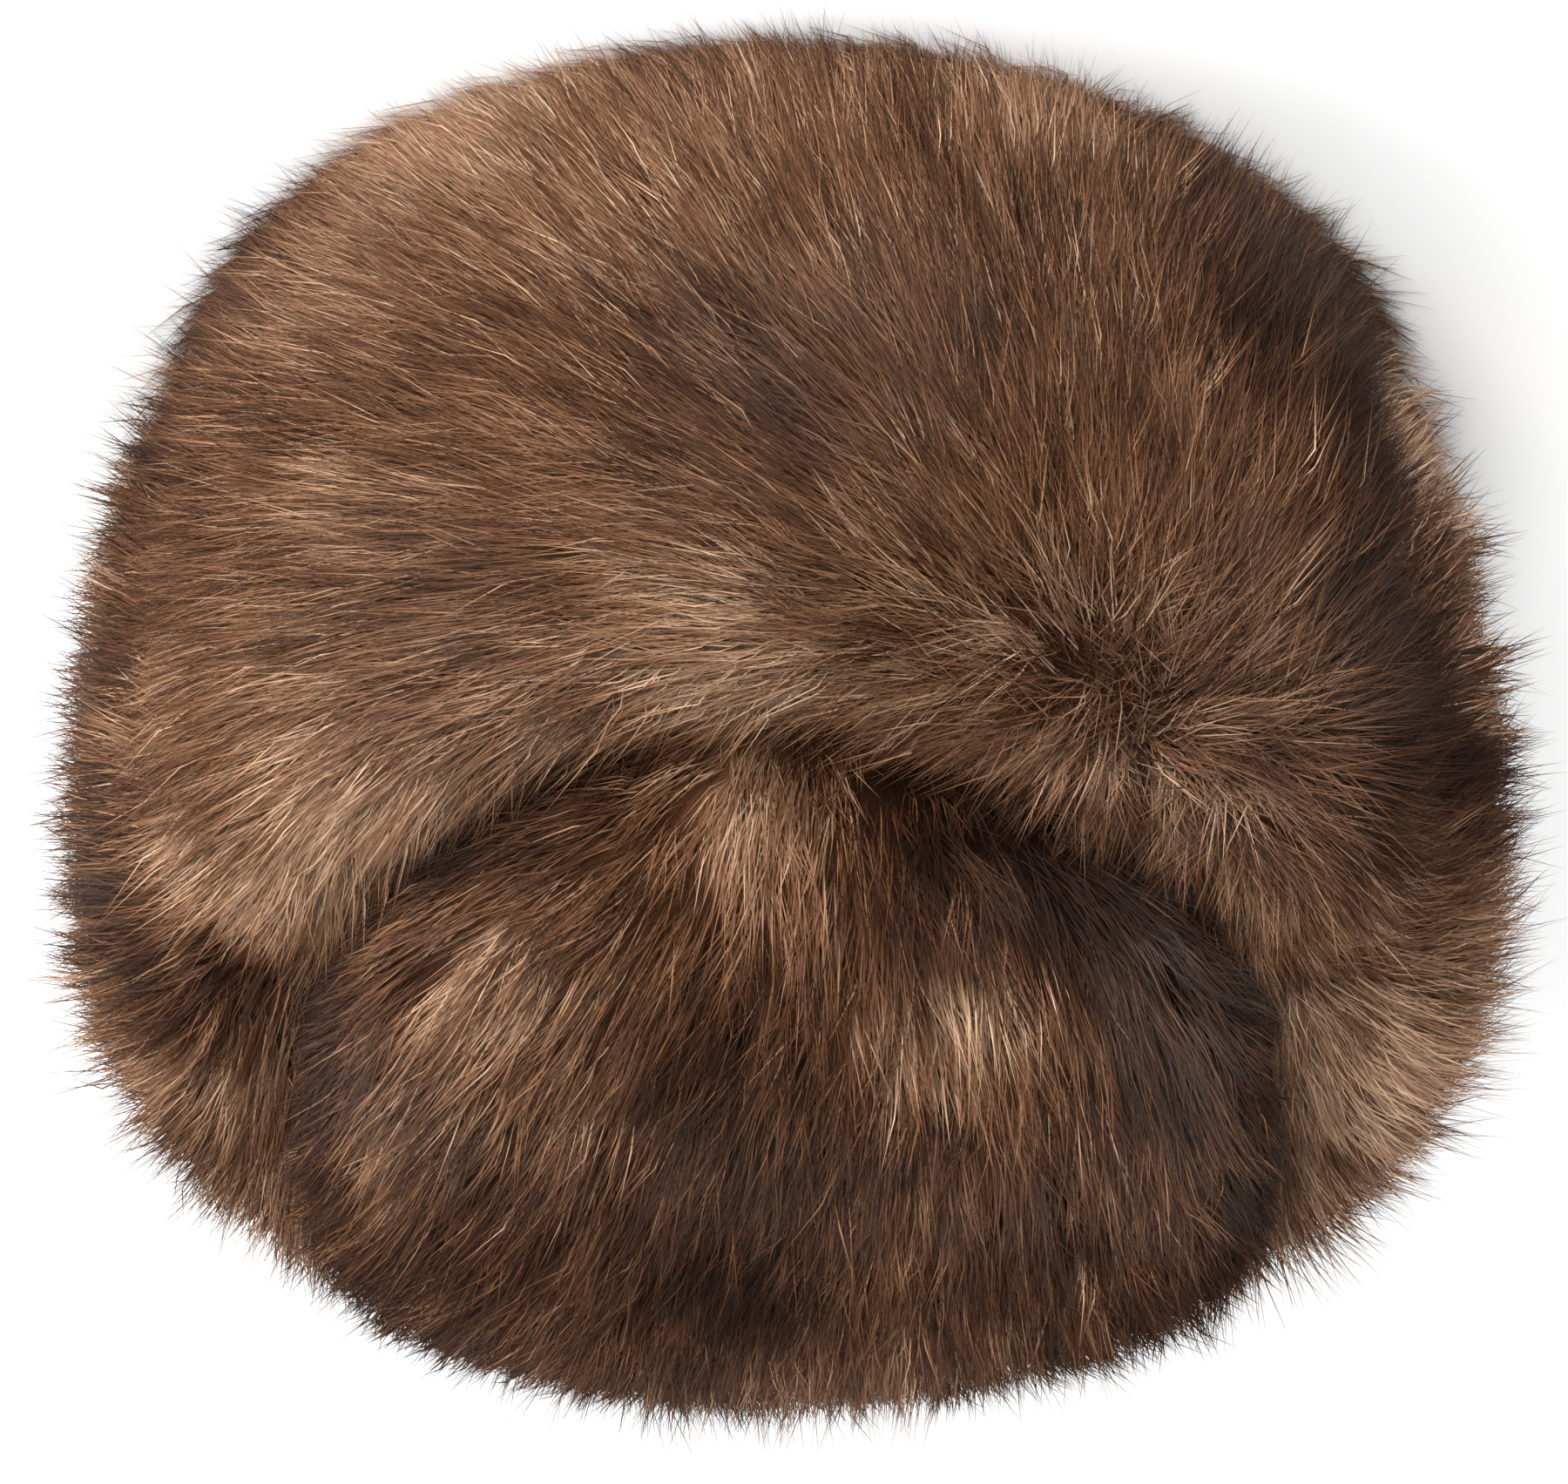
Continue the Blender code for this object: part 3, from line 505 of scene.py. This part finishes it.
def tones_and_painted_light(node, places):
    """Tone and coolness added at each place: painted shade at the crown's edge, a painted highlight
    on the cuff's rim and its fringe, and the patches, which hold the fur's own tone and painted light
    and shade.
    """
    azimuth = azimuth_of(places)
    cool = np.zeros(len(places))
    tone = CROWN_EDGE_PAINTED_SHADE * edge_share(node, places) + FRINGE_PAINTED_HIGHLIGHT * fringe_share(node, places)
    if node != "crown":
        tone += RIM_PAINTED_HIGHLIGHT * step(places[:, 2] / CUFF_TOP, RIM_LEVELS)
    for patch in CROWN_TONE_AND_PAINTED_LIGHT_PATCHES if node == "crown" else CUFF_TONE_AND_PAINTED_LIGHT_PATCHES:
        if node == "crown":
            across = places[:, 0] - patch.across * MOUTH_HALF_WIDTH
            along = places[:, 1] - patch.along * MOUTH_HALF_LENGTH
        else:
            across = turn_from(azimuth, patch.azimuth) * np.hypot(places[:, 0], places[:, 1])
            along = places[:, 2] - patch.level * CUFF_TOP
        near = np.exp(-(across**2 + along**2) / patch.reach**2)
        tone += patch.tone * near
        cool += patch.cool * near
    return tone, cool


def waves(places, size, rng):
    """Smooth random values from -1 to 1 that vary over about the given size."""
    total = np.zeros(len(places))
    count = 7
    for _ in range(count):
        direction = unit(rng.normal(size=3))
        total += np.sin(places @ direction * (2 * math.pi / size) + rng.uniform(0, 2 * math.pi))
    return total / math.sqrt(count)


def coat_strands(coat, surface, rng):
    """The strands of a coat as points (strand, root to tip, xyz), their normals, tones and cools."""
    share = 1.0
    locks = int(coat.strands * share / coat.per_lock)
    centres, normals = scatter(surface, locks, rng)
    naps, sleek = nap_of(coat.node, centres, normals)
    ruffled = 1 - sleek
    sides = np.cross(normals, naps)
    turn = (rng.normal(0, 1, locks) * (COMB_SCATTER + RUFFLE_SCATTER * ruffled))[:, None]
    naps = unit(naps * np.cos(turn) + sides * np.sin(turn))
    sides = np.cross(normals, naps)
    # the patch tone holds painted light and shade as well as the fur's own tone
    patch_tone, patch_cool = tones_and_painted_light(coat.node, centres)
    drift = 0.07 * waves(centres, 0.050, rng) + 0.06 * waves(centres, 0.016, rng)
    lock_tone = coat.tone + patch_tone + drift + rng.normal(0, LOCK_TONE[coat.kind], locks)
    lock_cool = np.clip(patch_cool + 0.04 + 0.12 * waves(centres, 0.070, rng), 0, 1)
    fringe = fringe_share(coat.node, centres)
    short = FRINGE_SHORT * fringe + CROWN_EDGE_SHORT * edge_share(coat.node, centres)
    lock_length = coat.length * rng.uniform(0.8, 1.15, locks) * (1 - short)

    count = locks * coat.per_lock
    lock = np.repeat(np.arange(locks), coat.per_lock)
    radius = coat.spread * np.sqrt(rng.uniform(0, 1, count)) * rng.uniform(0.7, 1.3, locks)[lock]
    spin = rng.uniform(0, 2 * math.pi, count)
    offset = (
        naps[lock] * (radius * np.cos(spin))[:, None] + sides[lock] * (radius * np.sin(spin))[:, None]
    )
    length = lock_length[lock] * rng.uniform(0.72, 1.12, count)
    stray = rng.uniform(0, 1, locks) < STRAY_SHARE[coat.kind]
    length[stray[lock]] *= STRAY_LENGTH
    stand = (RUFFLE_LIFT * ruffled + FRINGE_LIFT * fringe + STRAY_LIFT * stray)[lock]
    lift = np.radians(coat.lift) + stand + rng.normal(0, 0.12, count)
    lay = np.radians(coat.lay) + stand + rng.normal(0, 0.10, count)
    veer = rng.normal(0, 1, count) * (0.09 + 0.5 * ruffled[lock])
    out = normals[lock]
    nap = unit(naps[lock] + sides[lock] * veer[:, None])
    rise = nap * np.cos(lift)[:, None] + out * np.sin(lift)[:, None]
    fall = nap * np.cos(lay)[:, None] + out * np.sin(lay)[:, None]
    fall[:, 2] -= 0.08
    fall = unit(fall)
    root = centres[lock] + offset - out * ROOT_DEPTH
    half = (length / 2)[:, None]
    middle = root + rise * half - offset * coat.gather / 2
    middle += sides[lock] * rng.normal(0, 0.0006, count)[:, None]
    tip = middle + fall * half - offset * coat.gather / 2
    points = np.stack((root, middle, tip), 1)
    points[:, :, 2] = np.maximum(points[:, :, 2], 0.0006)
    tone = lock_tone[lock] + rng.normal(0, STRAND_TONE, count)
    return points, out, np.clip(tone, 0, 1), lock_cool[lock]


def ribbons(name, coat, strands, material, rng):
    """One mesh of thin bent leaves, one to a strand, with the strand's colours on its points."""
    points, out, tone, cool = strands
    count = len(points)
    along = unit(points[:, 2] - points[:, 0])
    side = unit(np.cross(along, out))
    roll = rng.uniform(-1.1, 1.1, count)[:, None]
    across = side * np.cos(roll) + unit(np.cross(side, along)) * np.sin(roll)
    width = coat.width * rng.uniform(0.75, 1.25, count)[:, None]
    verts = np.empty((count, 4, 3), np.float32)
    verts[:, 0] = points[:, 0]
    verts[:, 1] = points[:, 1] + across * width * 0.50
    verts[:, 2] = points[:, 1] - across * width * 0.50
    verts[:, 3] = points[:, 2]
    first = (np.arange(count) * 4)[:, None]
    loops = (first + np.array((0, 1, 2, 2, 1, 3))).astype(np.int32)
    data = bpy.data.meshes.new(name)
    data.vertices.add(count * 4)
    data.vertices.foreach_set("co", verts.ravel())
    data.loops.add(count * 6)
    data.loops.foreach_set("vertex_index", loops.ravel())
    data.polygons.add(count * 2)
    starts = (np.arange(count) * 6)[:, None] + np.array((0, 3))
    data.polygons.foreach_set("loop_start", starts.astype(np.int32).ravel())
    data.update(calc_edges=True)
    data.shade_smooth()
    colours = np.empty((count, 4, 4), np.float32)
    colours[:, :, 0] = np.array((0.0, 0.5, 0.5, 1.0))
    colours[:, :, 1] = tone[:, None]
    colours[:, :, 2] = cool[:, None]
    colours[:, :, 3] = 1.0
    layer = data.color_attributes.new("strand", "FLOAT_COLOR", "POINT")
    layer.data.foreach_set("color", colours.ravel())
    data.materials.append(material)
    piece = bpy.data.objects.new(name, data)
    bpy.context.scene.collection.objects.link(piece)
    return piece


def new_material(name, roughness):
    """A material with its Principled shader and a helper that adds nodes to it."""
    material = bpy.data.materials.new(name)
    material.use_nodes = True
    nodes = material.node_tree.nodes
    shader = nodes["Principled BSDF"]
    shader.inputs["Roughness"].default_value = roughness
    return material, nodes, material.node_tree.links, shader


def tone_ramp(nodes):
    ramp = nodes.new("ShaderNodeValToRGB")
    ramp.color_ramp.elements[0].position = TONES[0].at
    ramp.color_ramp.elements[0].color = (*TONES[0][1:], 1)
    ramp.color_ramp.elements[1].position = TONES[-1].at
    ramp.color_ramp.elements[1].color = (*TONES[-1][1:], 1)
    for tone in TONES[1:-1]:
        ramp.color_ramp.elements.new(tone.at).color = (*tone[1:], 1)
    return ramp


def strand_material(name, tip_dark, roughness):
    """Fur: its tone comes from each strand, deeper at the root and, on guard hairs, at the tip."""
    material, nodes, links, shader = new_material(name, roughness)
    strand = nodes.new("ShaderNodeAttribute")
    strand.attribute_name = "strand"
    parts = nodes.new("ShaderNodeSeparateColor")
    links.new(strand.outputs["Color"], parts.inputs["Color"])
    depth = nodes.new("ShaderNodeValToRGB")
    depth.color_ramp.elements[0].position = 0.0
    depth.color_ramp.elements[0].color = (0.75, 0.75, 0.75, 1)
    depth.color_ramp.elements[1].position = 1.0
    depth.color_ramp.elements[1].color = (1 - tip_dark, 1 - tip_dark, 1 - tip_dark, 1)
    depth.color_ramp.elements.new(0.5).color = (1, 1, 1, 1)
    links.new(parts.outputs["Red"], depth.inputs["Fac"])
    toned = nodes.new("ShaderNodeMath")
    toned.operation = "MULTIPLY"
    links.new(parts.outputs["Green"], toned.inputs[0])
    links.new(depth.outputs["Color"], toned.inputs[1])
    ramp = tone_ramp(nodes)
    links.new(toned.outputs["Value"], ramp.inputs["Fac"])
    cooled = nodes.new("ShaderNodeMix")
    cooled.data_type = "RGBA"
    cooled.inputs["B"].default_value = (*COOL_TINT, 1)
    half = nodes.new("ShaderNodeMath")
    half.operation = "MULTIPLY"
    half.inputs[1].default_value = 0.6
    links.new(parts.outputs["Blue"], half.inputs[0])
    links.new(half.outputs["Value"], cooled.inputs["Factor"])
    links.new(ramp.outputs["Color"], cooled.inputs["A"])
    links.new(cooled.outputs["Result"], shader.inputs["Base Color"])
    shader.inputs["Specular IOR Level"].default_value = 0.06
    return material


def underfur_material():
    """The short dense fur that shows between the strands: mottled, matt and in the fur's tones."""
    material, nodes, links, shader = new_material("underfur", 0.95)
    strand = nodes.new("ShaderNodeAttribute")
    strand.attribute_name = "strand"
    parts = nodes.new("ShaderNodeSeparateColor")
    links.new(strand.outputs["Color"], parts.inputs["Color"])
    noise = nodes.new("ShaderNodeTexNoise")
    noise.inputs["Scale"].default_value = 420
    noise.inputs["Detail"].default_value = 6
    noise.inputs["Roughness"].default_value = 0.7
    mottle = nodes.new("ShaderNodeMath")
    mottle.operation = "MULTIPLY_ADD"
    mottle.inputs[1].default_value = 0.5
    mottle.inputs[2].default_value = -0.25
    links.new(noise.outputs["Fac"], mottle.inputs[0])
    toned = nodes.new("ShaderNodeMath")
    toned.operation = "ADD"
    links.new(parts.outputs["Green"], toned.inputs[0])
    links.new(mottle.outputs["Value"], toned.inputs[1])
    ramp = tone_ramp(nodes)
    links.new(toned.outputs["Value"], ramp.inputs["Fac"])
    links.new(ramp.outputs["Color"], shader.inputs["Base Color"])
    shader.inputs["Specular IOR Level"].default_value = 0.05
    bump = nodes.new("ShaderNodeBump")
    bump.inputs["Strength"].default_value = 0.8
    bump.inputs["Distance"].default_value = 0.0015
    links.new(noise.outputs["Fac"], bump.inputs["Height"])
    links.new(bump.outputs["Normal"], shader.inputs["Normal"])
    return material


def backing_material():
    """The plain knitted backing inside the hat and under its cuff."""
    material, nodes, links, shader = new_material("backing", 0.9)
    where = nodes.new("ShaderNodeTexCoord")
    ribs = nodes.new("ShaderNodeTexWave")
    ribs.inputs["Scale"].default_value = 180
    ribs.inputs["Distortion"].default_value = 1.5
    ribs.inputs["Detail Scale"].default_value = 3
    links.new(where.outputs["Object"], ribs.inputs["Vector"])
    ramp = nodes.new("ShaderNodeValToRGB")
    ramp.color_ramp.elements[0].color = (0.050, 0.030, 0.020, 1)
    ramp.color_ramp.elements[1].color = (0.085, 0.054, 0.036, 1)
    links.new(ribs.outputs["Fac"], ramp.inputs["Fac"])
    links.new(ramp.outputs["Color"], shader.inputs["Base Color"])
    bump = nodes.new("ShaderNodeBump")
    bump.inputs["Strength"].default_value = 0.5
    bump.inputs["Distance"].default_value = 0.0006
    links.new(ribs.outputs["Fac"], bump.inputs["Height"])
    links.new(bump.outputs["Normal"], shader.inputs["Normal"])
    return material


def make_hat():
    """Skins and coats for the three pieces, riding on the hat's one body."""
    underfur = underfur_material()
    backing = backing_material()
    fur = {
        "pile": strand_material("pile", 0.10, 0.60),
        "guard": strand_material("guard_hair", 0.50, 0.50),
    }
    for index, node in enumerate(("crown", "cuff_front", "cuff_back")):
        skin = combed_skin(node, (underfur, backing))
        surface = surface_of(skin)
        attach(skin, "root")
        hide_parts(node)
        for order, coat in enumerate(row for row in COATS if row.node == node):
            rng = np.random.default_rng(100 * index + order)
            strands = coat_strands(coat, surface, rng)
            piece = ribbons(f"{node}_{coat.kind}", coat, strands, fur[coat.kind], rng)
            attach(piece, "root")


def make_floor():
    """A plain pale studio floor."""
    material, nodes, links, shader = new_material("studio_floor", 0.9)
    noise = nodes.new("ShaderNodeTexNoise")
    noise.inputs["Scale"].default_value = 3
    ramp = nodes.new("ShaderNodeValToRGB")
    ramp.color_ramp.elements[0].color = (0.90, 0.90, 0.90, 1)
    ramp.color_ramp.elements[1].color = (0.93, 0.93, 0.93, 1)
    links.new(noise.outputs["Fac"], ramp.inputs["Fac"])
    links.new(ramp.outputs["Color"], shader.inputs["Base Color"])
    mesh = bmesh.new()
    bmesh.ops.create_grid(mesh, x_segments=1, y_segments=1, size=4.0)
    data = bpy.data.meshes.new("floor")
    mesh.to_mesh(data)
    mesh.free()
    data.materials.append(material)
    floor = bpy.data.objects.new("floor", data)
    bpy.context.scene.collection.objects.link(floor)


def make_light(name, azimuth, elevation, distance, size, power):
    """A square soft box that faces the hat."""
    light = bpy.data.lights.new(name, "AREA")
    light.size = size
    light.energy = power
    lamp = bpy.data.objects.new(name, light)
    a = math.radians(azimuth)
    e = math.radians(elevation)
    out = Vector((math.sin(a) * math.cos(e), -math.cos(a) * math.cos(e), math.sin(e)))
    lamp.location = out * distance
    lamp.rotation_euler = out.to_track_quat("Z", "Y").to_euler()
    bpy.context.scene.collection.objects.link(lamp)


def make_studio():
    world = bpy.data.worlds.new("studio")
    world.use_nodes = True
    world.node_tree.nodes["Background"].inputs["Color"].default_value = (1, 1, 1, 1)
    world.node_tree.nodes["Background"].inputs["Strength"].default_value = 0.75
    bpy.context.scene.world = world
    make_light("front_soft_box", 14, 17, 1.8, 1.0, 56)
    make_light("right_soft_box", 70, 30, 1.8, 0.8, 16)
    make_light("top_soft_box", 180, 60, 1.8, 1.0, 10)
    bpy.context.scene.view_settings.view_transform = "Standard"
    bpy.context.scene.cycles.diffuse_bounces = FUR_BOUNCES
    bpy.context.scene.cycles.glossy_bounces = FUR_BOUNCES


def make_camera():
    """The photo's camera: in front of the hat and above it, rolled over so that the hat hangs."""
    data = bpy.data.cameras.new("photo_camera")
    data.sensor_width = 36.0
    data.lens = PIXELS_PER_METRE * data.sensor_width * CAMERA_DISTANCE / PHOTO_WIDTH
    camera = bpy.data.objects.new("photo_camera", data)
    elevation = math.radians(CAMERA_ELEVATION)
    out = Vector((0, -math.cos(elevation), math.sin(elevation)))
    look = (-out).to_track_quat("-Z", "Y").to_matrix().to_4x4()
    roll = Matrix.Rotation(math.radians(CAMERA_ROLL), 4, "Z")
    camera.matrix_world = Matrix.Translation(CAMERA_AIM + out * CAMERA_DISTANCE) @ look @ roll
    bpy.context.scene.collection.objects.link(camera)
    bpy.context.scene.camera = camera


make_camera()
make_studio()
make_floor()
make_hat()
